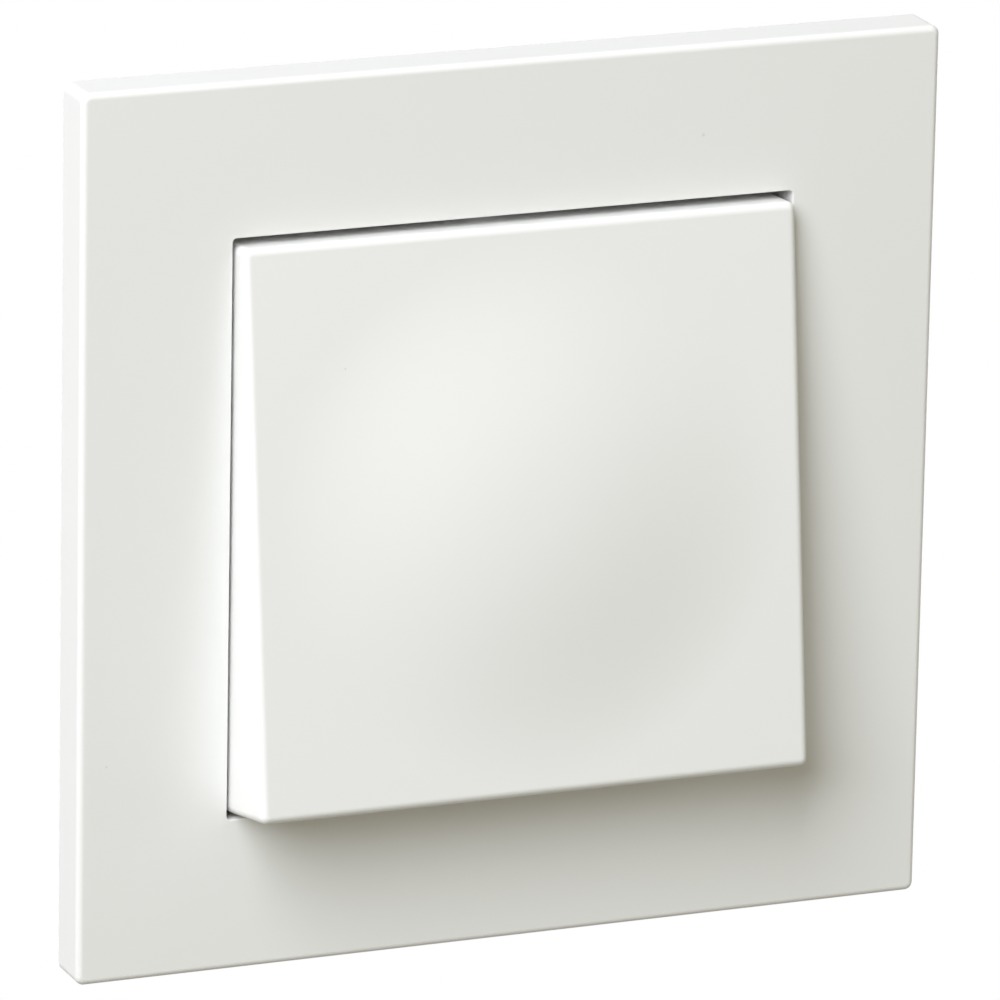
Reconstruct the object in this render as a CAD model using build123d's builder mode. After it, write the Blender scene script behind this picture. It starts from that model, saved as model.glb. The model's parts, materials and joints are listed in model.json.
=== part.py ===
from build123d import *
from math import cos, radians, sin, sqrt, tan
import os

# Intermediate light switch: square cover frame, one large rocker, and the flush insert behind them.
# The origin lies on the wall plane at the centre of the cover frame. +Z is up and the front faces -Y.
# "Ahead" is a distance from the wall towards the room, and "behind" is one into the wall box.

# Cover frame
frame_width = 85.0
frame_slab = 5.0
frame_standoff = 4.0
frame_skin = 2.0
frame_wall = 1.6
frame_rim_inset = 4.0
frame_corner_radius = 0.8
frame_edge_radius = 0.6
opening_width = 55.7
opening_corner_radius = 0.4
opening_edge_radius = 0.1
collar_clearance = 0.5
screw_notch_width = 9.5
frame_rib = 1.2
frame_rib_place = 25.0

# Rocker
rocker_gap = 0.3
rocker_end_gap = 0.6
rocker_wall = 1.8
rocker_end_draft = 3.2
rocker_side_draft = 0.6
rocker_edge_radius = 0.75
rocker_rib = 1.2
rocker_rib_height = 3.0
rocker_swing = 13.7
pivot_below_front = 0.45
pivot_to_face = 5.4
skirt_clearance = 0.55
dome_radius = 25.4
dome_height = 1.95
dome_crown_pull = 10.6
dome_foot_pull = 8.4
dome_flat = 0.5

# Rocker cradle and its bearings
pin_radius = 1.5
bearing_clearance = 0.06
cradle_half_height = 5.0
cradle_below_pivot = 1.6
ear_gap = 0.4
ear_thickness = 2.2
ear_edge = 0.9
ear_wall = 1.35
ear_foot_half = 4.5
hook_inset = 3.5
hook_width = 6.0
hook_thickness = 1.4
hook_barb = 0.8
hook_clearance = 0.02
leg_width = 5.6
leg_corner_radius = 0.6
leg_clearance = 3.05

# Plungers and their springs
plunger_radius = 1.6
plunger_length = 6.4
plunger_bore_clearance = 0.05
plunger_bore_top = 4.5
plunger_tip_gap = 0.45
spring_wire = 0.4
spring_coils = 4

# Support ring and its grip springs
ring_clearance = 1.4
ring_thickness = 1.0
ring_corner_radius = 4.0
ring_window_side = 2.2
ring_window_height = 12.0
box_screw_spacing = 60.0
box_slot_length = 5.8
box_slot_width = 4.2
grip_place = 17.0
grip_width = 6.0
grip_sheet = 0.4
grip_bow = 0.6
grip_bow_height = 3.8
grip_foot = 3.4

# Carrier and the screws that clamp it, the ring and the base together
carrier_step = 1.5
carrier_thickness = 1.8
carrier_slot_height = 10.0
carrier_slot_clearance = 0.6
fixing_edge = 2.5
fixing_up = 18.0
fixing_radius = 1.1
fixing_length = 6.0
fixing_head_radius = 2.1
fixing_head = 1.0

# Base behind the wall
base_width = 39.0
base_height = 43.0
base_depth = 22.0
base_corner = 3.5
base_edge_radius = 0.5
base_floor = 2.0
channel_floor = 3.05
channel_wall = 3.6
chamber_inner = 2.9
chamber_side_wall = 4.4
chamber_end_wall = 2.1
terminal_height = 7.4
terminal_wall = 1.5

# Seesaw contacts
seesaw_behind = 7.5
seesaw_tilt = 8.0
seesaw_width = 5.0
seesaw_end_play = 2.2
seesaw_thickness = 1.0
knife_radius = 0.8
contact_inset = 1.8
contact_radius = 1.5
contact_head = 0.5
contact_dome = 3.0
contact_gap = 0.02
rivet_radius = 0.8
anvil_radius = 1.7
anvil_head = 0.6

# Brass strips
strip_thickness = 0.8
strip_width = 2.6
pad_radius = 1.82
strip_layer_gap = 1.4
strip_fit = 0.2
cross_step = 5.0
rail_width = 2.2
rail_play = 0.1
saddle_half = 1.5
saddle_behind_knife = 0.35
knife_clearance = 0.03
busbar_offset = 2.7

# Terminals
wire_bore_radius = 1.2
wire_funnel = 0.4
wire_inset = 1.6
wire_offset = 1.4
clamp_sheet = 0.4
clamp_play = 0.7
clamp_rail_gap = 0.6
clamp_anchor_offset = 3.4
clamp_bend = 1.0
clamp_front = 6.5
clamp_foot_gap = 2.0
clamp_tip_offset = 2.3
clamp_tip_gap = 6.5
button_width = 4.0
button_height = 2.0
button_offset = 1.7
button_proud = 1.0
button_shoulder = 0.8
button_tip_behind = 8.6
button_fit = 0.1
button_groove_width = 0.8
button_groove_depth = 0.5

# Claws
claw_gap = 0.7
claw_sheet = 1.2
claw_width = 10.0
claw_head_width = 13.0
claw_head_ahead = 2.4
claw_head_clearance = 0.25
claw_slot_width = 2.2
claw_slot_clearance = 0.5
claw_length = 17.0
claw_fork_width = 4.8
claw_tooth = 4.0
claw_tooth_root = 2.6
claw_tooth_tip = 1.4
claw_tab_behind = 4.0
claw_tab_sheet = 1.5
claw_tab_width = 6.4
claw_tab_length = 6.0
claw_screw_offset = 3.8
claw_screw_radius = 1.5
claw_screw_clearance = 0.1
claw_screw_swing = 2.0
claw_screw_length = 13.0
claw_screw_head_radius = 2.1
claw_screw_head = 1.6
screw_slot_width = 0.8

# Values that follow from the ones above
frame_front = frame_standoff + frame_slab
rim_width = frame_width - 2 * frame_rim_inset
collar_width = opening_width + 2 * frame_wall
ring_width = rim_width - 2 * (frame_wall + ring_clearance)
plate_front = ring_thickness + carrier_thickness
lean = radians(rocker_swing / 2)
pivot_ahead = frame_front - pivot_below_front
rocker_width = opening_width - 2 * rocker_gap
skirt_height = opening_width - 2 * rocker_end_gap
skirt_drop = skirt_height / 2 * sin(lean)
cap_rear = (skirt_drop + skirt_clearance + ring_thickness - pivot_ahead) / cos(lean)
cap_inside = pivot_to_face - rocker_wall
rocker_depth = pivot_to_face - cap_rear
face_width = rocker_width - 2 * rocker_depth * tan(radians(rocker_side_draft))
rocker_height = skirt_height - 2 * rocker_depth * tan(radians(rocker_end_draft))
ear_inside = base_width / 2 - ear_edge - ear_thickness
cradle_half_length = ear_inside - ear_gap
hook_place = cradle_half_length - hook_inset
throw = pivot_ahead + seesaw_behind
leg_reach = throw - leg_clearance
carrier_height = base_height - 2 * carrier_step
fixing_across = base_width - 2 * fixing_edge
claw_across = base_width / 2 + claw_gap + claw_sheet / 2
claw_screw_across = claw_across + claw_screw_offset

# Chambers of the base, and what fits in them
chamber_outer = base_width / 2 - chamber_side_wall
chamber_width = chamber_outer - chamber_inner
leg_place = chamber_inner + chamber_width / 2
ring_window_width = 2 * (leg_place + leg_width / 2 + ring_window_side)
terminal_place = base_height / 2 - terminal_wall - terminal_height / 2
terminal_floor = base_depth - base_floor
chamber_height = 2 * (terminal_place - terminal_height / 2 - chamber_end_wall)
base_channel_height = 2 * (terminal_place - terminal_height / 2 - channel_wall)
seesaw_half_length = chamber_height / 2 - seesaw_end_play
contact_arm = seesaw_half_length - contact_inset
rail_place = chamber_outer - rail_play - rail_width / 2
busbar_place = terminal_place + busbar_offset
clamp_inner = chamber_inner + clamp_play
clamp_width = rail_place - rail_width / 2 - clamp_rail_gap - clamp_inner
terminal_across = clamp_inner + clamp_width / 2
clamp_anchor = terminal_place - clamp_anchor_offset
clamp_foot = terminal_floor - clamp_foot_gap
clamp_tip_place = terminal_place + clamp_tip_offset
clamp_tip_behind = terminal_floor - clamp_tip_gap
wire_pitch = clamp_width - 2 * wire_inset
wire_place = terminal_place + wire_offset
button_place = terminal_place - button_offset

# Depths of the contacts and the strips behind the seesaws
slant = radians(seesaw_tilt)
contact_top = contact_head + contact_dome - sqrt(contact_dome**2 - contact_radius**2)
contact_reach = contact_arm * sin(slant) + (contact_top - contact_dome) * cos(slant) + contact_dome
anvil_behind = seesaw_behind + contact_reach + contact_gap
strip_front = anvil_behind + anvil_head
strip_back = strip_front + strip_thickness
deep_front = strip_back + strip_layer_gap
deep_back = deep_front + strip_thickness
base_middle_depth = deep_back + channel_floor
sides = {"left": -1, "right": 1}
ends = {"upper": 1, "lower": -1}

# The rocker's own frame lies at its pivot and leans with it as it rests, with the top pressed in
rocker_frame = Plane(
    origin=(0, -pivot_ahead, 0), x_dir=(1, 0, 0), z_dir=(0, -cos(lean), sin(lean))
)
rocker_axis = Axis(rocker_frame.origin, rocker_frame.z_dir)

os.makedirs("parts", exist_ok=True)


def ahead(distance):
    """A plane parallel to the wall that looks into the room, with X to the right and Y up."""
    return Plane.XZ.offset(distance)


def behind(distance):
    """The same plane, a distance into the wall box."""
    return Plane.XZ.offset(-distance)


def seesaw_frame(side):
    """One seesaw's frame at rest, on its knife edge: its lower end is closed, its upper end open."""
    return Plane(
        origin=(side * leg_place, seesaw_behind, 0),
        x_dir=(1, 0, 0),
        z_dir=(0, -cos(slant), -sin(slant)),
    )


def turned_profile(frame, across):
    """A plane through a frame's own axis, for a profile to revolve: X across it and Y along it."""
    return Plane(
        origin=frame.from_local_coords((across, 0, 0)), x_dir=frame.x_dir, z_dir=-frame.y_dir
    )


# Cover frame: a flat slab that stands off the wall on a recessed rim, cored from behind, with a
# collar round the opening that hides the rocker's skirt
with BuildPart() as cover_frame:
    with BuildSketch(ahead(frame_standoff)):
        RectangleRounded(frame_width, frame_width, frame_corner_radius)
    extrude(amount=frame_slab)
    fillet(cover_frame.faces().sort_by(Axis.Y)[0].edges(), frame_edge_radius)
    with BuildSketch(ahead(0)):
        Rectangle(rim_width, rim_width)
    extrude(amount=frame_standoff)
    with BuildSketch(ahead(0)):
        Rectangle(rim_width - 2 * frame_wall, rim_width - 2 * frame_wall)
        Rectangle(collar_width, collar_width, mode=Mode.SUBTRACT)
    extrude(amount=frame_front - frame_skin, mode=Mode.SUBTRACT)
    with BuildSketch(ahead(0)):
        Rectangle(collar_width, collar_width)
    extrude(amount=ring_thickness + collar_clearance, mode=Mode.SUBTRACT)
    with BuildSketch(ahead(0)):
        RectangleRounded(opening_width, opening_width, opening_corner_radius)
    extrude(amount=frame_front, mode=Mode.SUBTRACT)
    fillet(
        cover_frame.faces().sort_by(Axis.Y)[0].inner_wires()[0].edges(), opening_edge_radius
    )
    # Ribs between rim and collar, which stop short of the support ring
    rib_start = ring_thickness + collar_clearance
    rib_length = rim_width / 2 - frame_wall - collar_width / 2
    rib_middle = (rim_width / 2 - frame_wall + collar_width / 2) / 2
    with BuildSketch(ahead(rib_start)):
        with GridLocations(2 * rib_middle, 2 * frame_rib_place, 2, 2):
            Rectangle(rib_length, frame_rib)
        with GridLocations(2 * frame_rib_place, 2 * rib_middle, 2, 2):
            Rectangle(frame_rib, rib_length)
    extrude(amount=frame_front - frame_skin - rib_start)
    # Notches in the collar that clear the heads of the box screws
    with BuildSketch(ahead(0)):
        with PolarLocations((opening_width + frame_wall) / 2, 4):
            Rectangle(4 * frame_wall, screw_notch_width)
    extrude(amount=frame_standoff, mode=Mode.SUBTRACT)
cover_frame.part.label = "cover_frame"
export_step(cover_frame.part, "parts/cover_frame.step")

# Rocker cap: a drafted lid with a shallow round dome that runs out into the flat of its face
with BuildPart() as rocker_cap:
    with BuildSketch(rocker_frame.offset(cap_rear)):
        Rectangle(rocker_width, skirt_height)
    with BuildSketch(rocker_frame.offset(pivot_to_face)):
        Rectangle(face_width, rocker_height)
    loft(ruled=True)
    back_edges = rocker_cap.faces().sort_by(rocker_axis)[0].edges()
    fillet(rocker_cap.edges() - back_edges, rocker_edge_radius)
    with BuildSketch(rocker_frame.offset(cap_rear)):
        Rectangle(rocker_width - 2 * rocker_wall, skirt_height - 2 * rocker_wall)
    with BuildSketch(rocker_frame.offset(cap_inside)):
        Rectangle(face_width - 2 * rocker_wall, rocker_height - 2 * rocker_wall)
    loft(ruled=True, mode=Mode.SUBTRACT)
    with BuildSketch(turned_profile(rocker_frame.offset(pivot_to_face), 0)):
        with BuildLine():
            root = Line((0, -rocker_wall / 2), (dome_radius, -rocker_wall / 2))
            rise = Line(root @ 1, (dome_radius, 0))
            swell = Bezier(
                rise @ 1,
                (dome_radius - dome_foot_pull, 0),
                (dome_crown_pull, dome_height),
                (dome_flat, dome_height),
            )
            Polyline(swell @ 1, (0, dome_height), root @ 0)
        make_face()
    revolve(axis=rocker_axis)
    # Ribs inside the lid, on both sides of the cradle
    rib_inner = cradle_half_height + hook_thickness
    rib_outer = rocker_height / 2 - rocker_wall
    with BuildSketch(rocker_frame.offset(cap_inside)):
        with GridLocations(2 * leg_place, rib_inner + rib_outer, 2, 2):
            Rectangle(rocker_rib, rib_outer - rib_inner)
        with GridLocations(0, rib_inner + rib_outer, 1, 2):
            Rectangle(face_width - 2 * rocker_wall, rocker_rib)
    extrude(amount=-rocker_rib_height)
    # Hooks that grip the cradle from above and below
    hook_reach = cradle_below_pivot + hook_clearance + hook_barb
    with BuildSketch(rocker_frame.offset(-hook_reach)):
        with GridLocations(2 * hook_place, 2 * cradle_half_height + hook_thickness, 2, 2):
            Rectangle(hook_width, hook_thickness)
    extrude(amount=hook_reach + cap_inside)
    with BuildSketch(rocker_frame.offset(-hook_reach)):
        with GridLocations(2 * hook_place, 2 * cradle_half_height - hook_barb, 2, 2):
            Rectangle(hook_width, hook_barb)
    extrude(amount=hook_barb)
rocker_cap.part.label = "rocker_cap"
export_step(rocker_cap.part, "parts/rocker_cap.step")

# Rocker cradle: a beam with a bearing pin at each end and two hollow legs for the plungers
pin_frame = Plane(origin=rocker_frame.origin, x_dir=rocker_frame.y_dir, z_dir=rocker_frame.x_dir)
with BuildPart() as rocker_cradle:
    with BuildSketch(rocker_frame.offset(-cradle_below_pivot)):
        Rectangle(2 * cradle_half_length, 2 * cradle_half_height)
    extrude(amount=cradle_below_pivot + cap_inside)
    with BuildSketch(pin_frame):
        Circle(pin_radius)
    extrude(amount=ear_inside + ear_thickness, both=True)
    with BuildSketch(rocker_frame.offset(-leg_reach)):
        with GridLocations(2 * leg_place, 0, 2, 1):
            RectangleRounded(leg_width, leg_width, leg_corner_radius)
    extrude(amount=leg_reach - cradle_below_pivot)
    with BuildSketch(rocker_frame.offset(-leg_reach)):
        with GridLocations(2 * leg_place, 0, 2, 1):
            Circle(plunger_radius + plunger_bore_clearance)
    extrude(amount=leg_reach - plunger_bore_top, mode=Mode.SUBTRACT)
rocker_cradle.part.label = "rocker_cradle"
export_step(rocker_cradle.part, "parts/rocker_cradle.step")

# Plungers: round pins with a domed tip that press on the seesaws, with a coil spring behind each.
# The tip's place leaves plunger_tip_gap between it and the seesaw's slanting front at rest.
tip_centre = (
    throw * cos(slant) - seesaw_thickness - plunger_radius - plunger_tip_gap
) / cos(lean + slant)
plunger_top = tip_centre + plunger_radius - plunger_length
coil_height = plunger_top - plunger_bore_top - spring_wire
for name, side in sides.items():
    with BuildPart() as plunger:
        with BuildSketch(turned_profile(rocker_frame, side * leg_place)):
            with BuildLine():
                tip = CenterArc((0, -tip_centre), plunger_radius, -90, 90)
                Polyline(tip @ 1, (plunger_radius, -plunger_top), (0, -plunger_top), tip @ 0)
            make_face()
        revolve(axis=Axis(rocker_frame.from_local_coords((side * leg_place, 0, 0)), rocker_frame.z_dir))
    plunger.part.label = f"plunger_{name}"
    export_step(plunger.part, f"parts/plunger_{name}.step")

    coil_base = rocker_frame.from_local_coords((side * leg_place, 0, spring_wire / 2 - plunger_top))
    with BuildPart() as plunger_spring:
        with BuildLine():
            coil = Helix(
                coil_height / spring_coils,
                coil_height,
                plunger_radius - spring_wire / 2,
                center=coil_base,
                direction=rocker_frame.z_dir,
            )
        with BuildSketch(Plane(origin=coil @ 0, z_dir=coil % 0)):
            Circle(spring_wire / 2)
        sweep(path=coil, is_frenet=True)
    plunger_spring.part.label = f"plunger_spring_{name}"
    export_step(plunger_spring.part, f"parts/plunger_spring_{name}.step")

# Support ring: stamped steel that lies on the wall, with slots for the box screws
with BuildPart() as support_ring:
    with BuildSketch(ahead(0)):
        RectangleRounded(ring_width, ring_width, ring_corner_radius)
        Rectangle(ring_window_width, ring_window_height, mode=Mode.SUBTRACT)
        with GridLocations(box_screw_spacing, 0, 2, 1):
            SlotOverall(box_slot_length, box_slot_width, mode=Mode.SUBTRACT)
        with GridLocations(0, box_screw_spacing, 1, 2):
            SlotOverall(box_slot_length, box_slot_width, rotation=90, mode=Mode.SUBTRACT)
        with GridLocations(fixing_across, fixing_up, 2, 2):
            Circle(fixing_radius, mode=Mode.SUBTRACT)
        with GridLocations(2 * claw_across, 0, 2, 1):
            Rectangle(claw_slot_width, claw_width + 2 * claw_slot_clearance, mode=Mode.SUBTRACT)
        with GridLocations(2 * claw_screw_across, 0, 2, 1):
            Circle(claw_screw_radius + claw_screw_clearance, mode=Mode.SUBTRACT)
    extrude(amount=ring_thickness)
support_ring.part.label = "support_ring"
export_step(support_ring.part, "parts/support_ring.step")

# Grip springs: four bowed leaves on the ring that press on the collar and hold the cover frame
leaf_place = collar_width / 2 + grip_sheet / 2
leaf_start = ring_thickness + grip_sheet / 2
number = 0
for side in sides.values():
    for end in ends.values():
        number += 1
        with BuildPart() as grip_spring:
            with BuildSketch(Plane.XY.offset(end * grip_place - grip_width / 2)):
                with BuildLine():
                    foot = Line(
                        (side * (leaf_place + grip_bow - grip_foot), -leaf_start),
                        (side * (leaf_place + grip_bow), -leaf_start),
                    )
                    ThreePointArc(
                        foot @ 1,
                        (side * leaf_place, -leaf_start - grip_bow_height / 2),
                        (side * (leaf_place + grip_bow), -leaf_start - grip_bow_height),
                    )
                trace(line_width=grip_sheet)
            extrude(amount=grip_width)
        grip_spring.part.label = f"grip_spring_{number}"
        export_step(grip_spring.part, f"parts/grip_spring_{number}.step")

# Carrier: the plastic plate in front of the ring that closes the base and bears the rocker's pins
ear_radius = pin_radius + bearing_clearance + ear_wall
with BuildPart() as carrier:
    with BuildSketch(ahead(ring_thickness)):
        RectangleRounded(base_width, carrier_height, carrier_thickness)
        with GridLocations(2 * leg_place, 0, 2, 1):
            Rectangle(
                leg_width + 2 * carrier_slot_clearance, carrier_slot_height, mode=Mode.SUBTRACT
            )
        with GridLocations(fixing_across, fixing_up, 2, 2):
            Circle(fixing_radius, mode=Mode.SUBTRACT)
    extrude(amount=carrier_thickness)
    for side in sides.values():
        with BuildSketch(Plane.YZ.offset(side * (ear_inside + ear_thickness / 2))):
            with BuildLine():
                cheek = Line((-ring_thickness, -ear_foot_half), (-pivot_ahead, -ear_radius))
                crest = ThreePointArc(
                    cheek @ 1, (-pivot_ahead - ear_radius, 0), (-pivot_ahead, ear_radius)
                )
                Polyline(crest @ 1, (-ring_thickness, ear_foot_half), cheek @ 0)
            make_face()
            with Locations((-pivot_ahead, 0)):
                Circle(pin_radius + bearing_clearance, mode=Mode.SUBTRACT)
        extrude(amount=ear_thickness / 2, both=True)
carrier.part.label = "carrier"
export_step(carrier.part, "parts/carrier.step")

# Base housing: a moulded block with a chamber for each seesaw and one for each terminal, all open
# to the front, and a channel across its back between the two rows of terminals
link_height = 2 * contact_arm + strip_width + strip_fit
with BuildPart() as base_housing:
    with BuildSketch(behind(base_depth)):
        Rectangle(base_width, base_height)
        chamfer(vertices(), base_corner)
    extrude(amount=base_depth)
    with BuildSketch(behind(base_depth)):
        Rectangle(base_width, base_channel_height)
    extrude(amount=base_depth - base_middle_depth, mode=Mode.SUBTRACT)
    fillet(base_housing.faces().sort_by(Axis.Y)[-2:].edges(), base_edge_radius)
    # Seesaw chambers, linked across the middle where the strips cross
    with BuildSketch(behind(strip_back)):
        with GridLocations(2 * leg_place, 0, 2, 1):
            Rectangle(chamber_width, chamber_height)
        Rectangle(2 * leg_place, link_height)
    extrude(amount=strip_back, mode=Mode.SUBTRACT)
    with BuildSketch(behind(deep_back)):
        Rectangle(2 * (cross_step + strip_thickness) + strip_fit, link_height)
    extrude(amount=deep_back, mode=Mode.SUBTRACT)
    # Terminal chambers, and the notches that let the rails through to them
    with BuildSketch(behind(terminal_floor)):
        with GridLocations(2 * leg_place, 2 * terminal_place, 2, 2):
            Rectangle(chamber_width, terminal_height)
    extrude(amount=terminal_floor, mode=Mode.SUBTRACT)
    with BuildSketch(behind(strip_back)):
        with GridLocations(2 * rail_place, chamber_height + chamber_end_wall, 2, 2):
            Rectangle(rail_width + strip_fit, 2 * chamber_end_wall)
    extrude(amount=strip_back, mode=Mode.SUBTRACT)
    # Wire entries and release slots in the floor of each terminal
    with BuildSketch(behind(base_depth)):
        for side in sides.values():
            with Locations((side * terminal_across, 0)):
                with GridLocations(wire_pitch, 2 * wire_place, 2, 2):
                    Circle(wire_bore_radius)
        with GridLocations(2 * terminal_across, 2 * button_place, 2, 2):
            Rectangle(button_width + 2 * button_fit, button_height + 2 * button_fit)
    extrude(amount=base_floor, mode=Mode.SUBTRACT)
    with BuildSketch(behind(base_depth)):
        for side in sides.values():
            with Locations((side * terminal_across, 0)):
                with GridLocations(wire_pitch, 2 * wire_place, 2, 2):
                    Circle(wire_bore_radius + wire_funnel)
    extrude(amount=wire_funnel, taper=45, mode=Mode.SUBTRACT)
    # Blind holes for the fixing screws
    with BuildSketch(ahead(0)):
        with GridLocations(fixing_across, fixing_up, 2, 2):
            Circle(fixing_radius)
    extrude(amount=-fixing_length, mode=Mode.SUBTRACT)
base_housing.part.label = "base_housing"
export_step(base_housing.part, "parts/base_housing.step")

# Fixing screws: slotted heads on the carrier, with shanks in the base
number = 0
for side in sides.values():
    for end in ends.values():
        number += 1
        screw_place = (side * fixing_across / 2, end * fixing_up / 2)
        with BuildPart() as fixing_screw:
            with BuildSketch(ahead(plate_front)):
                with Locations(screw_place):
                    Circle(fixing_head_radius)
            extrude(amount=fixing_head)
            fillet(fixing_screw.faces().sort_by(Axis.Y)[0].edges(), fixing_head / 3)
            with BuildSketch(ahead(plate_front)):
                with Locations(screw_place):
                    Circle(fixing_radius)
            extrude(amount=-plate_front - fixing_length)
            with BuildSketch(ahead(plate_front + fixing_head)):
                with Locations(screw_place):
                    Rectangle(2 * fixing_head_radius, screw_slot_width)
            extrude(amount=-fixing_head / 2, mode=Mode.SUBTRACT)
        fixing_screw.part.label = f"fixing_screw_{number}"
        export_step(fixing_screw.part, f"parts/fixing_screw_{number}.step")

# Seesaws: bridges that rock on a round rib across their backs, with a domed contact riveted
# through each arm
for name, side in sides.items():
    bridge = seesaw_frame(side)
    with BuildPart() as seesaw:
        with BuildSketch(bridge):
            Rectangle(seesaw_width, 2 * seesaw_half_length)
            with GridLocations(0, 2 * contact_arm, 1, 2):
                Circle(rivet_radius, mode=Mode.SUBTRACT)
        extrude(amount=seesaw_thickness)
        with BuildSketch(Plane(origin=bridge.origin, x_dir=bridge.y_dir, z_dir=bridge.x_dir)):
            Circle(knife_radius)
        extrude(amount=seesaw_width / 2, both=True)
    seesaw.part.label = f"seesaw_{name}"
    export_step(seesaw.part, f"parts/seesaw_{name}.step")

    for place, end in ends.items():
        rivet_origin = bridge.from_local_coords((0, end * contact_arm, 0))
        with BuildPart() as moving_contact:
            with BuildSketch(Plane(origin=rivet_origin, x_dir=bridge.x_dir, z_dir=bridge.y_dir)):
                with BuildLine():
                    core = Line((0, -seesaw_thickness), (0, contact_top))
                    dome = TangentArc(core @ 1, (contact_radius, contact_head), tangent=(1, 0))
                    Polyline(
                        dome @ 1,
                        (contact_radius, 0),
                        (rivet_radius, 0),
                        (rivet_radius, -seesaw_thickness),
                        core @ 0,
                    )
                make_face()
            revolve(axis=Axis(rivet_origin, bridge.z_dir))
        moving_contact.part.label = f"moving_contact_{name}_{place}"
        export_step(moving_contact.part, f"parts/moving_contact_{name}_{place}.step")

        with BuildPart() as fixed_contact:
            with BuildSketch(behind(strip_front)):
                with Locations((side * leg_place, end * contact_arm)):
                    Circle(anvil_radius)
            extrude(amount=anvil_head)
            with BuildSketch(behind(strip_back)):
                with Locations((side * leg_place, end * contact_arm)):
                    Circle(rivet_radius)
            extrude(amount=strip_thickness)
        fixed_contact.part.label = f"fixed_contact_{name}_{place}"
        export_step(fixed_contact.part, f"parts/fixed_contact_{name}_{place}.step")


def terminal_rail(side, end, start):
    """The stretch of a strip that runs from its pad to the busbar of one terminal."""
    far = busbar_place + strip_thickness
    with BuildPart() as rail:
        with BuildSketch(behind(strip_back)):
            with Locations((side * rail_place, end * (start + far) / 2)):
                Rectangle(rail_width, far - start)
        extrude(amount=strip_thickness)
        inner = terminal_across - clamp_width / 2
        outer = rail_place + rail_width / 2
        with BuildSketch(behind(terminal_floor - strip_fit)):
            with Locations((side * (inner + outer) / 2, end * (busbar_place + strip_thickness / 2))):
                Rectangle(outer - inner, strip_thickness)
        extrude(amount=terminal_floor - strip_fit - strip_front)
    return rail.part


# Common strips: each holds the saddle that its seesaw rocks in, and feeds an upper terminal
saddle_front = seesaw_behind + saddle_behind_knife
groove = knife_radius + knife_clearance
for name, side in sides.items():
    rail = terminal_rail(side, 1, -saddle_half)
    with BuildPart() as common_strip:
        add(rail)
        foot_start = leg_place - seesaw_width / 2
        with BuildSketch(behind(strip_back)):
            with Locations((side * (foot_start + rail_place) / 2, 0)):
                Rectangle(rail_place - foot_start, 2 * saddle_half)
        extrude(amount=strip_thickness)
        with BuildSketch(Plane.YZ.offset(side * leg_place)):
            with BuildLine():
                Polyline(
                    (strip_front, -saddle_half),
                    (strip_front, saddle_half),
                    (saddle_front, saddle_half),
                    (saddle_front, sqrt(2) * groove - saddle_behind_knife),
                    (seesaw_behind + sqrt(2) * groove, 0),
                    (saddle_front, saddle_behind_knife - sqrt(2) * groove),
                    (saddle_front, -saddle_half),
                    close=True,
                )
            make_face()
        extrude(amount=seesaw_width / 2, both=True)
    common_strip.part.label = f"common_strip_{name}"
    export_step(common_strip.part, f"parts/common_strip_{name}.step")

# Crossing strips: each joins a lower contact to the upper one on the other side. One stays in the
# front layer, and the other steps back to pass behind it.
for name, side in sides.items():
    rail = terminal_rail(side, -1, contact_arm - strip_width / 2)
    with BuildPart() as crossing_strip:
        add(rail)
        with BuildSketch(behind(strip_back)):
            with Locations((side * leg_place, -contact_arm), (-side * leg_place, contact_arm)):
                Circle(pad_radius)
            with Locations((side * (leg_place + rail_place) / 2, -contact_arm)):
                Rectangle(rail_place - leg_place, strip_width)
            for end in ends.values():
                with Locations((-end * side * (leg_place + cross_step) / 2, end * contact_arm)):
                    Rectangle(leg_place - cross_step, strip_width)
            with Locations((side * leg_place, -contact_arm), (-side * leg_place, contact_arm)):
                Circle(rivet_radius, mode=Mode.SUBTRACT)
        extrude(amount=strip_thickness)
        middle_back = strip_back if side < 0 else deep_back
        with BuildSketch(behind(middle_back)):
            Rectangle(strip_width, 2 * contact_arm + strip_width)
            for end in ends.values():
                with Locations((-end * side * cross_step / 2, end * contact_arm)):
                    Rectangle(cross_step, strip_width)
        extrude(amount=strip_thickness)
        with BuildSketch(behind(middle_back)):
            for end in ends.values():
                step_middle = cross_step + strip_thickness / 2
                with Locations((-end * side * step_middle, end * contact_arm)):
                    Rectangle(strip_thickness, strip_width)
        extrude(amount=middle_back - strip_front)
    crossing_strip.part.label = f"crossing_strip_{name}"
    export_step(crossing_strip.part, f"parts/crossing_strip_{name}.step")

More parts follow.
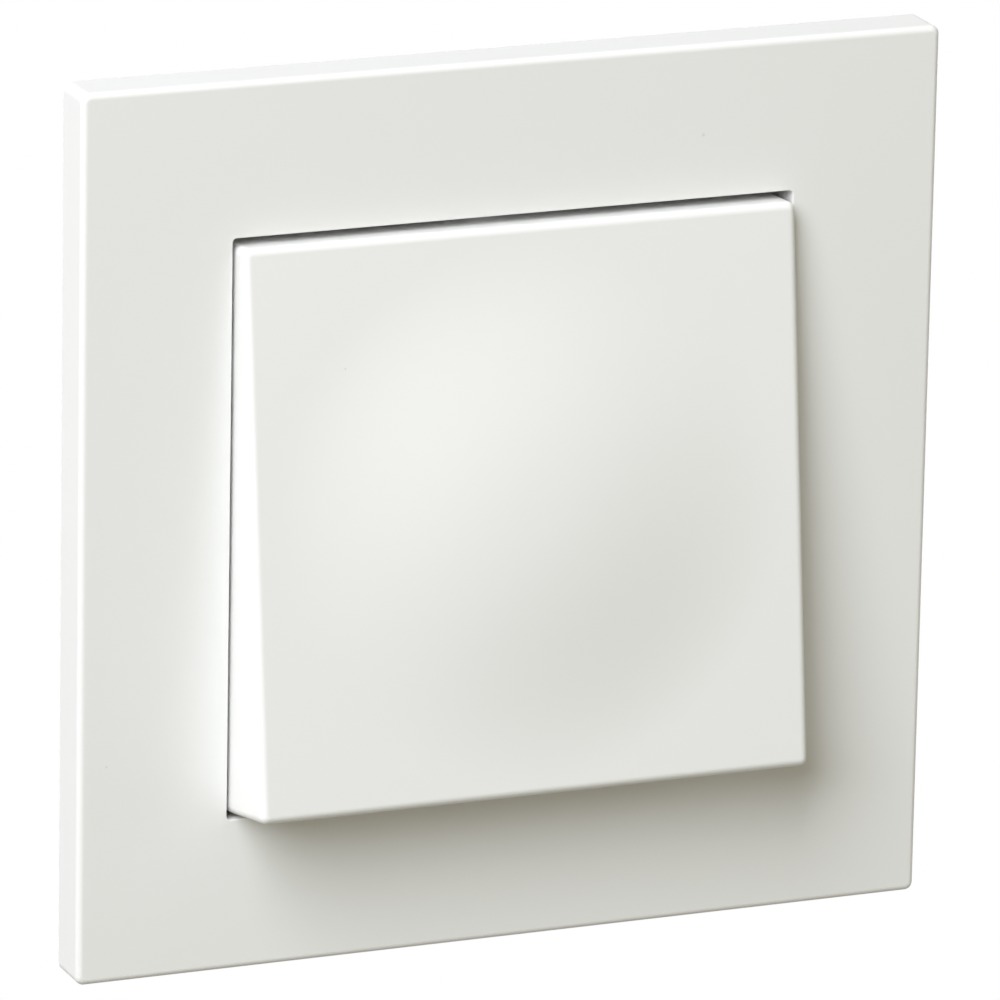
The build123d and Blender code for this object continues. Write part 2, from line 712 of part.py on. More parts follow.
# Clamp springs and release buttons: a bent leaf presses the wires onto each busbar, and a button
# from behind lifts it
number = 0
for side in sides.values():
    for end in ends.values():
        number += 1
        with BuildPart() as clamp_spring:
            with BuildSketch(Plane.YZ.offset(side * terminal_across)):
                with BuildLine():
                    anchor = Line((clamp_foot, end * clamp_anchor), (clamp_front, end * clamp_anchor))
                    bend = ThreePointArc(
                        anchor @ 1,
                        (clamp_front - clamp_bend, end * (clamp_anchor + clamp_bend)),
                        (clamp_front, end * (clamp_anchor + 2 * clamp_bend)),
                    )
                    Line(bend @ 1, (clamp_tip_behind, end * clamp_tip_place))
                trace(line_width=clamp_sheet)
            extrude(amount=clamp_width / 2, both=True)
        clamp_spring.part.label = f"clamp_spring_{number}"
        export_step(clamp_spring.part, f"parts/clamp_spring_{number}.step")

        button_spot = (side * terminal_across, end * button_place)
        with BuildPart() as release_button:
            with BuildSketch(behind(base_depth + button_proud)):
                with Locations(button_spot):
                    Rectangle(button_width, button_height)
            extrude(amount=base_depth + button_proud - button_tip_behind)
            with BuildSketch(behind(terminal_floor)):
                with Locations(button_spot):
                    Rectangle(button_width + 2 * button_shoulder, button_height)
            extrude(amount=button_shoulder)
            with BuildSketch(behind(base_depth + button_proud)):
                with Locations(button_spot):
                    Rectangle(button_width, button_groove_width)
            extrude(amount=button_groove_depth, mode=Mode.SUBTRACT)
        release_button.part.label = f"release_button_{number}"
        export_step(release_button.part, f"parts/release_button_{number}.step")

# Claws: forked steel plates that hang in the ring's slots and swing outwards to grip the wall box,
# each drawn by a screw through its tab
for name, side in sides.items():
    plate_outside = claw_across + claw_sheet / 2
    with BuildPart() as claw:
        with BuildSketch(Plane.YZ.offset(side * claw_across)):
            head_back = ring_thickness + claw_head_clearance
            with Locations(((claw_length - head_back) / 2, 0)):
                Rectangle(claw_length + head_back, claw_width)
            with Locations((-(claw_head_ahead + head_back) / 2, 0)):
                Rectangle(claw_head_ahead - head_back, claw_head_width)
            fork_start = claw_tab_behind + claw_tab_sheet
            with Locations(((claw_length + fork_start) / 2, 0)):
                Rectangle(claw_length - fork_start, claw_fork_width, mode=Mode.SUBTRACT)
        extrude(amount=claw_sheet / 2, both=True)
        with BuildSketch(behind(fork_start)):
            with Locations((side * (plate_outside + claw_tab_length / 2), 0)):
                Rectangle(claw_tab_length, claw_tab_width)
            with Locations((side * (claw_screw_across - claw_screw_swing / 2), 0)):
                SlotCenterToCenter(
                    claw_screw_swing,
                    2 * (claw_screw_radius + claw_screw_clearance),
                    mode=Mode.SUBTRACT,
                )
        extrude(amount=claw_tab_sheet)
        prong_width = (claw_width - claw_fork_width) / 2
        for end in ends.values():
            with BuildSketch(behind(claw_length)):
                with Locations((side * plate_outside, end * (claw_width - prong_width) / 2)):
                    Polygon(
                        (0, -claw_tooth_root / 2),
                        (side * claw_tooth, -claw_tooth_tip / 2),
                        (side * claw_tooth, claw_tooth_tip / 2),
                        (0, claw_tooth_root / 2),
                        align=None,
                    )
            extrude(amount=claw_sheet)
    claw.part.label = f"claw_{name}"
    export_step(claw.part, f"parts/claw_{name}.step")

    screw_spot = (side * claw_screw_across, 0)
    with BuildPart() as claw_screw:
        with BuildSketch(ahead(ring_thickness)):
            with Locations(screw_spot):
                Circle(claw_screw_head_radius)
        extrude(amount=claw_screw_head)
        fillet(claw_screw.faces().sort_by(Axis.Y)[0].edges(), claw_screw_head / 4)
        with BuildSketch(ahead(ring_thickness)):
            with Locations(screw_spot):
                Circle(claw_screw_radius)
        extrude(amount=-ring_thickness - claw_screw_length)
        with BuildSketch(ahead(ring_thickness + claw_screw_head)):
            with Locations(screw_spot):
                Rectangle(2 * claw_screw_head_radius, screw_slot_width)
        extrude(amount=-claw_screw_head / 2, mode=Mode.SUBTRACT)
    claw_screw.part.label = f"claw_screw_{name}"
    export_step(claw_screw.part, f"parts/claw_screw_{name}.step")
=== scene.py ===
import json
import math

import bmesh
import bpy
from mathutils import Matrix, Vector


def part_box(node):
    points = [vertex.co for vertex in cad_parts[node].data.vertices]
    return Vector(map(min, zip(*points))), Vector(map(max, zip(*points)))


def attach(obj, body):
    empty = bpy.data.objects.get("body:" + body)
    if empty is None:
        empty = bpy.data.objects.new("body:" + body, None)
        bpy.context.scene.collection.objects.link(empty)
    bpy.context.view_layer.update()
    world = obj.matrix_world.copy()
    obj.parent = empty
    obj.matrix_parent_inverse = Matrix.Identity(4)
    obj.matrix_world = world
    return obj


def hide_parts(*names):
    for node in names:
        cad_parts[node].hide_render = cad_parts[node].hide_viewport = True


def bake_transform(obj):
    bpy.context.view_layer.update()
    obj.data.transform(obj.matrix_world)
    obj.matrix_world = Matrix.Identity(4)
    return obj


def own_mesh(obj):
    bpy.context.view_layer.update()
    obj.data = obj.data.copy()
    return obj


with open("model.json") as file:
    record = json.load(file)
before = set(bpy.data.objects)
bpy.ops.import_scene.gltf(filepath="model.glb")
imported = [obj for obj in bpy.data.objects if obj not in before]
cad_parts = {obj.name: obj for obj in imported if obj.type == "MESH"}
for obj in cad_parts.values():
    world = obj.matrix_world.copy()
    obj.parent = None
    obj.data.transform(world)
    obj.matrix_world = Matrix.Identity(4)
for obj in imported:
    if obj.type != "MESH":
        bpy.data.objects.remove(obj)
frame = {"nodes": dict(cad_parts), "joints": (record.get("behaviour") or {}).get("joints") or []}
nodes = frame["nodes"]
scene = bpy.context.scene
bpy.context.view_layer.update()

# Cover frame. A square plate injection-moulded in white, semi-gloss plastic, 85 mm across, that is
# pushed over the grip springs of the support ring. Its polished mould leaves an even gloss with a
# faint orange peel, and dust that was caught under the lights shows as a few tiny specks.


def new_effect(name, inputs, outputs):
    """An empty shader group with named sockets. It returns the group with its two end nodes."""
    effect = bpy.data.node_groups.new(name, "ShaderNodeTree")
    for label, kind, start in inputs:
        effect.interface.new_socket(label, in_out="INPUT", socket_type=kind).default_value = start
    for label, kind in outputs:
        effect.interface.new_socket(label, in_out="OUTPUT", socket_type=kind)
    return effect, effect.nodes.new("NodeGroupInput"), effect.nodes.new("NodeGroupOutput")


def place(tree, kind, values=None, **settings):
    """A node with the given settings, and with values on its sockets."""
    node = tree.nodes.new(kind)
    for setting, value in settings.items():
        setattr(node, setting, value)
    for socket, value in (values or {}).items():
        node.inputs[socket].default_value = value
    return node


def wire(tree, *links):
    """Links nodes. Each link is given as a node, its output, the next node and its input."""
    for source, output, target, entry in links:
        tree.links.new(source.outputs[output], target.inputs[entry])


# The gloss and the orange peel of a moulded surface, by the size and depth of its ripples
mould_skin, given, result = new_effect(
    "mould_skin",
    [
        ("Ripple Scale", "NodeSocketFloat", 900.0),
        ("Ripple Depth", "NodeSocketFloat", 0.000004),
        ("Smooth", "NodeSocketFloat", 0.30),
        ("Dull", "NodeSocketFloat", 0.38),
    ],
    [("Roughness", "NodeSocketFloat"), ("Normal", "NodeSocketVector")],
)
where = place(mould_skin, "ShaderNodeTexCoord")
ripple = place(mould_skin, "ShaderNodeTexNoise")
raised = place(mould_skin, "ShaderNodeBump")
patches = place(mould_skin, "ShaderNodeTexNoise", {"Scale": 60.0, "Detail": 4.0})
gloss = place(mould_skin, "ShaderNodeMapRange", {"From Min": 0.3, "From Max": 0.7})
wire(
    mould_skin,
    (where, "Object", ripple, "Vector"),
    (where, "Object", patches, "Vector"),
    (given, "Ripple Scale", ripple, "Scale"),
    (given, "Ripple Depth", raised, "Distance"),
    (ripple, "Fac", raised, "Height"),
    (patches, "Fac", gloss, "Value"),
    (given, "Smooth", gloss, "To Min"),
    (given, "Dull", gloss, "To Max"),
    (gloss, "Result", result, "Roughness"),
    (raised, "Normal", result, "Normal"),
)

# Scattered specks: one small spot in a few of the cells that the surface is divided into
specks, given, result = new_effect(
    "specks",
    [
        ("Base", "NodeSocketColor", (0.8, 0.8, 0.8, 1)),
        ("Speck", "NodeSocketColor", (0.2, 0.2, 0.2, 1)),
        ("Cells", "NodeSocketFloat", 220.0),
        ("Size", "NodeSocketFloat", 0.035),
        ("Share", "NodeSocketFloat", 0.05),
    ],
    [("Color", "NodeSocketColor")],
)
where = place(specks, "ShaderNodeTexCoord")
cells = place(specks, "ShaderNodeTexVoronoi")
chance = place(specks, "ShaderNodeSeparateColor")
chosen = place(specks, "ShaderNodeMath", operation="LESS_THAN")
near = place(specks, "ShaderNodeMath", operation="LESS_THAN")
both = place(specks, "ShaderNodeMath", operation="MULTIPLY")
tinted = place(specks, "ShaderNodeMix", data_type="RGBA")
wire(
    specks,
    (where, "Object", cells, "Vector"),
    (given, "Cells", cells, "Scale"),
    (cells, "Color", chance, "Color"),
    (chance, "Red", chosen, 0),
    (given, "Share", chosen, 1),
    (cells, "Distance", near, 0),
    (given, "Size", near, 1),
    (chosen, "Value", both, 0),
    (near, "Value", both, 1),
    (both, "Value", tinted, "Factor"),
    (given, "Base", tinted, "A"),
    (given, "Speck", tinted, "B"),
    (tinted, "Result", result, "Color"),
)


def finish_for(name):
    """A new material with its node tree and its shader."""
    material = bpy.data.materials.new(name)
    material.use_nodes = True
    return material, material.node_tree, material.node_tree.nodes["Principled BSDF"]


def add_effect(tree, effect, **values):
    """Places an effect in a material, with its own values. Socket names take _ for a space."""
    node = tree.nodes.new("ShaderNodeGroup")
    node.node_tree = effect
    for label, value in values.items():
        node.inputs[label.replace("_", " ")].default_value = value
    return node


def dress(material, *names):
    """Gives CAD nodes their finish."""
    for name in names:
        nodes[name].data.materials.clear()
        nodes[name].data.materials.append(material)


def moulded_plastic(name, colour, speck, share, smooth, dull, ripple):
    """A moulded plastic. Specks take their share of the cells, and ripple is the orange peel's depth."""
    material, tree, shader = finish_for(name)
    spotted = add_effect(tree, specks, Base=(*colour, 1), Speck=(*speck, 1), Share=share)
    skin = add_effect(tree, mould_skin, Smooth=smooth, Dull=dull, Ripple_Depth=ripple)
    shader.inputs["IOR"].default_value = 1.5
    wire(
        tree,
        (spotted, "Color", shader, "Base Color"),
        (skin, "Roughness", shader, "Roughness"),
        (skin, "Normal", shader, "Normal"),
    )
    return material


white_plastic = moulded_plastic(
    "white_plastic",
    colour=(0.88, 0.88, 0.875),
    speck=(0.78, 0.77, 0.745),
    share=0.3,
    smooth=0.38,
    dull=0.46,
    ripple=0.000004,
)
dress(white_plastic, "cover_frame")

# Rocker cap. The large rocker is moulded in the same white plastic, with a shallow round dome. It
# snaps onto the cradle and rests with its top pressed in.
dress(white_plastic, "rocker_cap")

# Cradle, plungers and carrier. These inner pieces are plain engineering plastics: a light grey
# cradle, dark slippery plungers and an off-white carrier that bears the rocker's pins.
cradle_plastic = moulded_plastic(
    "cradle_plastic",
    colour=(0.62, 0.63, 0.63),
    speck=(0.5, 0.5, 0.5),
    share=0.1,
    smooth=0.42,
    dull=0.55,
    ripple=0.000006,
)
dress(cradle_plastic, "rocker_cradle")
plunger_plastic = moulded_plastic(
    "plunger_plastic",
    colour=(0.09, 0.095, 0.10),
    speck=(0.2, 0.2, 0.2),
    share=0.05,
    smooth=0.3,
    dull=0.4,
    ripple=0.000003,
)
dress(plunger_plastic, "plunger_left", "plunger_right")
carrier_plastic = moulded_plastic(
    "carrier_plastic",
    colour=(0.78, 0.78, 0.75),
    speck=(0.6, 0.6, 0.58),
    share=0.1,
    smooth=0.45,
    dull=0.6,
    ripple=0.000006,
)
dress(carrier_plastic, "carrier")

# Base housing. A heat-resistant grey moulding with short glass fibres, which show as a fine
# mottle and leave the surface duller than the cover.
fibre_mottle, given, result = new_effect(
    "fibre_mottle",
    [
        ("Base", "NodeSocketColor", (0.5, 0.5, 0.5, 1)),
        ("Fibre", "NodeSocketColor", (0.6, 0.6, 0.6, 1)),
        ("Fibre Scale", "NodeSocketFloat", 2200.0),
    ],
    [("Color", "NodeSocketColor"), ("Height", "NodeSocketFloat")],
)
where = place(fibre_mottle, "ShaderNodeTexCoord")
drawn_out = place(fibre_mottle, "ShaderNodeMapping", {"Scale": (1.0, 1.0, 0.6)})
strands = place(fibre_mottle, "ShaderNodeTexNoise", {"Detail": 5.0, "Roughness": 0.7})
clumps = place(fibre_mottle, "ShaderNodeTexNoise", {"Scale": 130.0})
summed = place(fibre_mottle, "ShaderNodeMath", {1: 0.5}, operation="MULTIPLY_ADD")
spread = place(fibre_mottle, "ShaderNodeMapRange", {"From Min": 0.6, "From Max": 0.95})
blended = place(fibre_mottle, "ShaderNodeMix", data_type="RGBA")
wire(
    fibre_mottle,
    (where, "Object", drawn_out, "Vector"),
    (drawn_out, "Vector", strands, "Vector"),
    (given, "Fibre Scale", strands, "Scale"),
    (where, "Object", clumps, "Vector"),
    (clumps, "Fac", summed, 0),
    (strands, "Fac", summed, 2),
    (summed, "Value", spread, "Value"),
    (spread, "Result", blended, "Factor"),
    (given, "Base", blended, "A"),
    (given, "Fibre", blended, "B"),
    (blended, "Result", result, "Color"),
    (strands, "Fac", result, "Height"),
)

base_thermoset, tree, shader = finish_for("base_thermoset")
mottle = add_effect(tree, fibre_mottle, Base=(0.40, 0.41, 0.415, 1), Fibre=(0.47, 0.48, 0.48, 1))
grain = place(tree, "ShaderNodeBump", {"Distance": 0.00001})
shader.inputs["Roughness"].default_value = 0.55
wire(
    tree,
    (mottle, "Color", shader, "Base Color"),
    (mottle, "Height", grain, "Height"),
    (grain, "Normal", shader, "Normal"),
)
dress(base_thermoset, "base_housing")

# Support ring, claws and screws. The ring and the forked claws are stamped from steel sheet and
# zinc-plated; the plating is bluish and cloudy, and rubbed bright along the stamped edges.
rolled_streaks, given, result = new_effect(
    "rolled_streaks",
    [
        ("Streak Scale", "NodeSocketFloat", 2600.0),
        ("Streak Depth", "NodeSocketFloat", 0.000003),
        ("Smooth", "NodeSocketFloat", 0.25),
        ("Dull", "NodeSocketFloat", 0.42),
    ],
    [("Roughness", "NodeSocketFloat"), ("Normal", "NodeSocketVector")],
)
where = place(rolled_streaks, "ShaderNodeTexCoord")
along = place(rolled_streaks, "ShaderNodeMapping", {"Scale": (1.0, 1.0, 0.04)})
streaks = place(rolled_streaks, "ShaderNodeTexNoise", {"Detail": 4.0})
dulled = place(rolled_streaks, "ShaderNodeMapRange", {"From Min": 0.3, "From Max": 0.7})
scored = place(rolled_streaks, "ShaderNodeBump")
wire(
    rolled_streaks,
    (where, "Object", along, "Vector"),
    (along, "Vector", streaks, "Vector"),
    (given, "Streak Scale", streaks, "Scale"),
    (streaks, "Fac", dulled, "Value"),
    (given, "Smooth", dulled, "To Min"),
    (given, "Dull", dulled, "To Max"),
    (streaks, "Fac", scored, "Height"),
    (given, "Streak Depth", scored, "Distance"),
    (dulled, "Result", result, "Roughness"),
    (scored, "Normal", result, "Normal"),
)

# Cloudy tint of a plated or tarnished metal, with edges rubbed back to the bare metal
plated_tone, given, result = new_effect(
    "plated_tone",
    [
        ("Metal", "NodeSocketColor", (0.6, 0.6, 0.6, 1)),
        ("Tint", "NodeSocketColor", (0.5, 0.5, 0.6, 1)),
        ("Bare", "NodeSocketColor", (0.8, 0.8, 0.8, 1)),
        ("Cloud Scale", "NodeSocketFloat", 110.0),
        ("Edge Width", "NodeSocketFloat", 0.0003),
    ],
    [("Color", "NodeSocketColor")],
)
where = place(plated_tone, "ShaderNodeTexCoord")
clouds = place(plated_tone, "ShaderNodeTexNoise", {"Detail": 5.0})
cloudy = place(plated_tone, "ShaderNodeMapRange", {"From Min": 0.35, "From Max": 0.7})
toned = place(plated_tone, "ShaderNodeMix", data_type="RGBA")
softened = place(plated_tone, "ShaderNodeBevel", samples=4)
facing = place(plated_tone, "ShaderNodeNewGeometry")
aligned = place(plated_tone, "ShaderNodeVectorMath", operation="DOT_PRODUCT")
at_edge = place(plated_tone, "ShaderNodeMapRange", {"From Min": 0.985, "From Max": 0.80})
rubbed = place(plated_tone, "ShaderNodeMix", data_type="RGBA")
wire(
    plated_tone,
    (where, "Object", clouds, "Vector"),
    (given, "Cloud Scale", clouds, "Scale"),
    (clouds, "Fac", cloudy, "Value"),
    (cloudy, "Result", toned, "Factor"),
    (given, "Metal", toned, "A"),
    (given, "Tint", toned, "B"),
    (given, "Edge Width", softened, "Radius"),
    (softened, "Normal", aligned, 0),
    (facing, "Normal", aligned, 1),
    (aligned, "Value", at_edge, "Value"),
    (at_edge, "Result", rubbed, "Factor"),
    (toned, "Result", rubbed, "A"),
    (given, "Bare", rubbed, "B"),
    (rubbed, "Result", result, "Color"),
)


def sheet_metal(name, metal, tint, bare, smooth, dull):
    """A rolled metal with its tone and its streaks."""
    material, tree, shader = finish_for(name)
    tone = add_effect(tree, plated_tone, Metal=(*metal, 1), Tint=(*tint, 1), Bare=(*bare, 1))
    rolled = add_effect(tree, rolled_streaks, Smooth=smooth, Dull=dull)
    shader.inputs["Metallic"].default_value = 1.0
    wire(
        tree,
        (tone, "Color", shader, "Base Color"),
        (rolled, "Roughness", shader, "Roughness"),
        (rolled, "Normal", shader, "Normal"),
    )
    return material


zinc_steel = sheet_metal(
    "zinc_steel",
    metal=(0.50, 0.52, 0.54),
    tint=(0.54, 0.53, 0.48),
    bare=(0.68, 0.69, 0.70),
    smooth=0.38,
    dull=0.52,
)
dress(zinc_steel, "support_ring", "claw_left", "claw_right")
dress(zinc_steel, *[f"fixing_screw_{i}" for i in range(1, 5)])

# Claw screws. Slotted M3 screws of zinc-plated steel, with a rolled thread up to a short plain
# neck. Each one draws its claw's tab forwards, which swings the fork out against the wall box.
claw_head_radius = 0.0021
claw_head_height = 0.0016
claw_head_rounding = 0.0004
claw_slot_depth = 0.0008
claw_slot_half = 0.0004
thread_radius = 0.0015
thread_depth = 0.0003
thread_pitch = 0.0005
thread_length = 0.0115
tip_chamfer = 0.0004
flank_slope = 1.35
crest_flat = 0.15
points_around = 48
rows_per_turn = 8
sharpest_shaded_smooth = math.radians(40)
turn_angles = [2 * math.pi * i / points_around for i in range(points_around)]
half_way = points_around // 2
slot_corners = {
    1: (1, 1),
    half_way - 1: (-1, 1),
    half_way + 1: (-1, -1),
    points_around - 1: (1, -1),
}


def screw_ring(shape, axis, depth, radii):
    """A ring of points about the screw's axis. Points at the slot's corners keep to its walls."""
    ring = []
    for i, (angle, radius) in enumerate(zip(turn_angles, radii)):
        across, up = radius * math.cos(angle), radius * math.sin(angle)
        if i in slot_corners and radius > thread_radius:
            right, above = slot_corners[i]
            up = above * claw_slot_half
            across = right * math.sqrt(radius**2 - claw_slot_half**2)
        ring.append(shape.verts.new((axis + across, depth, up)))
    return ring


def join_rings(shape, first, second, span):
    """Faces between two rings, over the given steps round them."""
    for i in span:
        after = (i + 1) % points_around
        shape.faces.new((first[i], first[after], second[after], second[i]))


def threaded_radii(depth, tip):
    """How far out the thread stands all round, at one depth along the screw."""
    from_tip = tip - depth
    fade = min(1.0, max(0.0, (thread_length - from_tip) / thread_pitch))
    radii = []
    for angle in turn_angles:
        turn = (depth / thread_pitch + angle / (2 * math.pi)) % 1.0
        groove = min(1.0, max(0.0, abs(2 * turn - 1) * flank_slope - crest_flat))
        cut = thread_radius - thread_depth * groove * fade
        radii.append(min(cut, thread_radius - tip_chamfer + from_tip))
    return radii


def head_land(shape, axis, head_front, slot_ring, start):
    """The part of the head on one side of its slot, with a rounded rim."""
    last = start + half_way - 2
    land = [slot_ring]
    for lean in (0, 45, 90):
        inwards = claw_head_rounding * (1 - math.cos(math.radians(lean)))
        backwards = claw_head_rounding * (1 - math.sin(math.radians(lean)))
        radii = [claw_head_radius - inwards] * points_around
        land.append(screw_ring(shape, axis, head_front + backwards, radii))
    for first, second in zip(land, land[1:]):
        join_rings(shape, first, second, range(start, last))
    shape.faces.new([land[-1][i] for i in range(start, last + 1)])
    shape.faces.new([ring[start] for ring in land] + [ring[last] for ring in reversed(land)])


def claw_screw_shape(axis, head_front, tip):
    """A closed screw, made ring by ring from its tip to the slot in its head."""
    shape = bmesh.new()
    rows = round(thread_length / thread_pitch * rows_per_turn)
    depths = [tip - i * thread_pitch / rows_per_turn for i in range(rows + 1)]
    rings = [screw_ring(shape, axis, depth, threaded_radii(depth, tip)) for depth in depths]
    seat = head_front + claw_head_height
    slot_floor = head_front + claw_slot_depth
    for depth, radius in ((seat, thread_radius), (seat, claw_head_radius), (slot_floor, claw_head_radius)):
        rings.append(screw_ring(shape, axis, depth, [radius] * points_around))
    shape.faces.new(rings[0])
    for first, second in zip(rings, rings[1:]):
        join_rings(shape, first, second, range(points_around))
    slot_ring = rings[-1]
    mouth = (points_around - 1, 0, 1, half_way - 1, half_way, half_way + 1)
    shape.faces.new([slot_ring[i] for i in mouth])
    for start in (1, half_way + 1):
        head_land(shape, axis, head_front, slot_ring, start)
    bmesh.ops.delete(shape, geom=[v for v in shape.verts if not v.link_faces], context="VERTS")
    bmesh.ops.recalc_face_normals(shape, faces=shape.faces)
    return shape


for side in ("left", "right"):
    low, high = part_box(f"claw_screw_{side}")
    shape = claw_screw_shape((low.x + high.x) / 2, low.y, high.y)
    screw_mesh = bpy.data.meshes.new(f"claw_screw_thread_{side}")
    shape.to_mesh(screw_mesh)
    shape.free()
    screw_mesh.polygons.foreach_set("use_smooth", [True] * len(screw_mesh.polygons))
    screw_mesh.set_sharp_from_angle(angle=sharpest_shaded_smooth)
    screw_mesh.materials.append(zinc_steel)
    claw_screw = bpy.data.objects.new(f"claw_screw_thread_{side}", screw_mesh)
    scene.collection.objects.link(claw_screw)
    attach(claw_screw, f"claw_screw_{side}")
    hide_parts(f"claw_screw_{side}")

# Springs. The grip leaves, the clamp springs and the plungers' coils are bright spring steel,
# rolled or drawn and left unplated.
spring_steel = sheet_metal(
    "spring_steel",
    metal=(0.50, 0.50, 0.49),
    tint=(0.44, 0.43, 0.41),
    bare=(0.70, 0.70, 0.69),
    smooth=0.18,
    dull=0.32,
)
dress(spring_steel, *[f"grip_spring_{i}" for i in range(1, 5)])


def working_spring(name, node):
    """A copy of a spring's CAD node in spring steel. It stands for the node that it copies, which is
    hidden.
    """
    spring = bpy.data.objects.new(name, nodes[node].data.copy())
    scene.collection.objects.link(spring)
    spring.data.materials.clear()
    spring.data.materials.append(spring_steel)
    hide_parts(node)
    return spring


# The plungers' coils are copied onto meshes of their own and ride with the rocker
for side in ("left", "right"):
    slide = next(j for j in frame["joints"] if j["name"] == f"plunger_{side}_slide")
    along = Vector(slide["axis"]).normalized()
    coil = working_spring(f"plunger_coil_{side}", f"plunger_spring_{side}")
    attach(coil, "rocker")
    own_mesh(coil)

# Each clamp spring is copied in place, with its placement baked into its mesh. On the real switch it bends
# at its root, where the free arm goes forwards with the release button
for i in range(1, 5):
    low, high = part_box(f"clamp_spring_{i}")
    leaf = working_spring(f"clamp_leaf_{i}", f"clamp_spring_{i}")
    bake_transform(leaf)

# Current-carrying pieces. Strips and seesaws are stamped from brass sheet, and the contacts are
# silver rivets pressed into them.
brass = sheet_metal(
    "brass",
    metal=(0.78, 0.58, 0.27),
    tint=(0.66, 0.46, 0.20),
    bare=(0.90, 0.74, 0.42),
    smooth=0.22,
    dull=0.38,
)
contact_silver = sheet_metal(
    "contact_silver",
    metal=(0.83, 0.82, 0.79),
    tint=(0.74, 0.72, 0.66),
    bare=(0.90, 0.90, 0.88),
    smooth=0.25,
    dull=0.35,
)
for side in ("left", "right"):
    dress(brass, f"seesaw_{side}", f"common_strip_{side}", f"crossing_strip_{side}")
    for end in ("upper", "lower"):
        dress(contact_silver, f"moving_contact_{side}_{end}", f"fixed_contact_{side}_{end}")

# Release buttons. Small orange mouldings that stand a millimetre out of the base's back, so that
# they are found with a screwdriver beside the wires.
button_plastic = moulded_plastic(
    "button_plastic",
    colour=(0.72, 0.25, 0.05),
    speck=(0.5, 0.2, 0.05),
    share=0.05,
    smooth=0.35,
    dull=0.45,
    ripple=0.000004,
)
dress(button_plastic, *[f"release_button_{i}" for i in range(1, 5)])

# Studio. A plain pale floor far below the switch, in a bright room that shows as plain white. A tall
# soft lamp stands up on the left, with weak ones left and right of it and one behind for the back.
wall_plane = 0.0


def glowing_white(tree, target, front, back):
    """White to the camera's eye. What it throws on the switch has a tone in front and one behind."""
    path = place(tree, "ShaderNodeLightPath")
    spot = place(tree, "ShaderNodeNewGeometry")
    along = place(tree, "ShaderNodeSeparateXYZ")
    behind = place(tree, "ShaderNodeMath", {1: wall_plane}, operation="GREATER_THAN")
    tones = {"A": (*front, 1), "B": (*back, 1)}
    thrown = place(tree, "ShaderNodeMix", tones, data_type="RGBA")
    seen = place(tree, "ShaderNodeMix", {"B": (1, 1, 1, 1)}, data_type="RGBA")
    wire(
        tree,
        (spot, "Position", along, "Vector"),
        (along, "Y", behind, 0),
        (behind, "Value", thrown, "Factor"),
        (thrown, "Result", seen, "A"),
        (path, "Is Camera Ray", seen, "Factor"),
    )
    tree.links.new(seen.outputs["Result"], target)


floor_reach = 12.0
floor_drop = -0.75
floor_mesh = bpy.data.meshes.new("floor")
quarters = ((-1, -1), (1, -1), (1, 1), (-1, 1))
corners = [(x * floor_reach, y * floor_reach, floor_drop) for x, y in quarters]
floor_mesh.from_pydata(corners, [], [(0, 1, 2, 3)])
floor = bpy.data.objects.new("floor", floor_mesh)
scene.collection.objects.link(floor)
pale_paper, tree, shader = finish_for("pale_paper")
shader.inputs["Base Color"].default_value = (0, 0, 0, 1)
shader.inputs["Specular IOR Level"].default_value = 0.0
shader.inputs["Emission Strength"].default_value = 1.0
floor_tones = {"front": (0.285, 0.272, 0.215), "back": (0.46, 0.46, 0.455)}
glowing_white(tree, shader.inputs["Emission Color"], **floor_tones)
floor_mesh.materials.append(pale_paper)

room = bpy.data.worlds.new("room")
scene.world = room
room.use_nodes = True
air = room.node_tree.nodes["Background"]
air_tones = {"front": (0.197, 0.177, 0.110), "back": (0.46, 0.46, 0.455)}
glowing_white(room.node_tree, air.inputs["Color"], **air_tones)


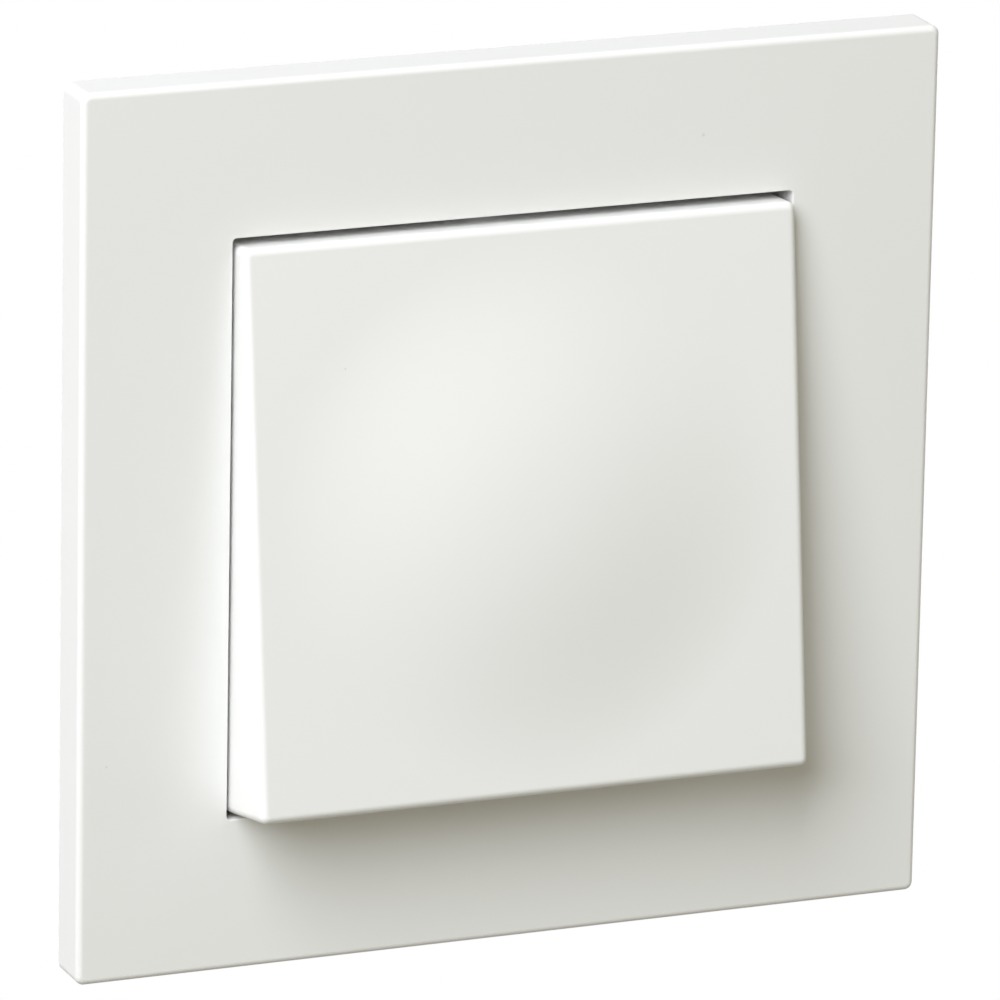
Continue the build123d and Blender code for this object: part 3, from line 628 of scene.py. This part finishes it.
def soft_lamp(name, turn, height, distance, size, power, colour):
    """A soft lamp of a width and a height, placed by its turn from straight ahead and its rise."""
    lamp = bpy.data.lights.new(name, "AREA")
    lamp.shape = "RECTANGLE"
    lamp.size, lamp.size_y = size
    lamp.energy = power
    lamp.color = colour
    stand = bpy.data.objects.new(name, lamp)
    scene.collection.objects.link(stand)
    turn, height = math.radians(turn), math.radians(height)
    level = math.cos(height)
    spot = Vector((math.sin(turn) * level, -math.cos(turn) * level, math.sin(height)))
    stand.location = spot * distance
    stand.rotation_mode = "QUATERNION"
    stand.rotation_quaternion = (-spot).to_track_quat("-Z", "Y")


soft_lamp(
    "lamp_upper_left",
    turn=-46,
    height=40,
    distance=1.2,
    size=(0.72, 1.04),
    power=18.9,
    colour=(0.918, 0.952, 0.995),
)
soft_lamp(
    "lamp_left",
    turn=-95,
    height=30,
    distance=1.5,
    size=(0.6, 0.9),
    power=4.6,
    colour=(0.955, 0.955, 0.93),
)
soft_lamp(
    "lamp_right",
    turn=62,
    height=5,
    distance=1.5,
    size=(0.8, 0.8),
    power=2.7,
    colour=(1.0, 1.0, 1.0),
)
soft_lamp(
    "lamp_behind",
    turn=150,
    height=-25,
    distance=1.5,
    size=(1.6, 1.2),
    power=9.0,
    colour=(1.0, 1.0, 1.0),
)

# Camera. A long lens from the left and a little above, turned by about a degree, as in the
# photograph. It is aimed at a point near the middle of the rocker's face.
camera_turn = math.radians(22.54)
camera_rise = math.radians(16.44)
camera_roll = math.radians(1.08)
camera_distance = 0.9065
aim = Vector((-0.00232, -0.012, 0.0015))
camera = bpy.data.objects.new("camera", bpy.data.cameras.new("camera"))
scene.collection.objects.link(camera)
facing = Matrix.Rotation(-camera_turn, 4, "Z") @ Matrix.Rotation(math.pi / 2 - camera_rise, 4, "X")
rolled = Matrix.Rotation(camera_roll, 4, "Z")
set_back = Matrix.Translation((0, 0, camera_distance))
camera.matrix_world = Matrix.Translation(aim) @ facing @ rolled @ set_back
camera.data.sensor_width = 36.0
camera.data.lens = 353.1
camera.data.clip_start = 0.01
scene.camera = camera
scene.view_settings.view_transform = "Standard"
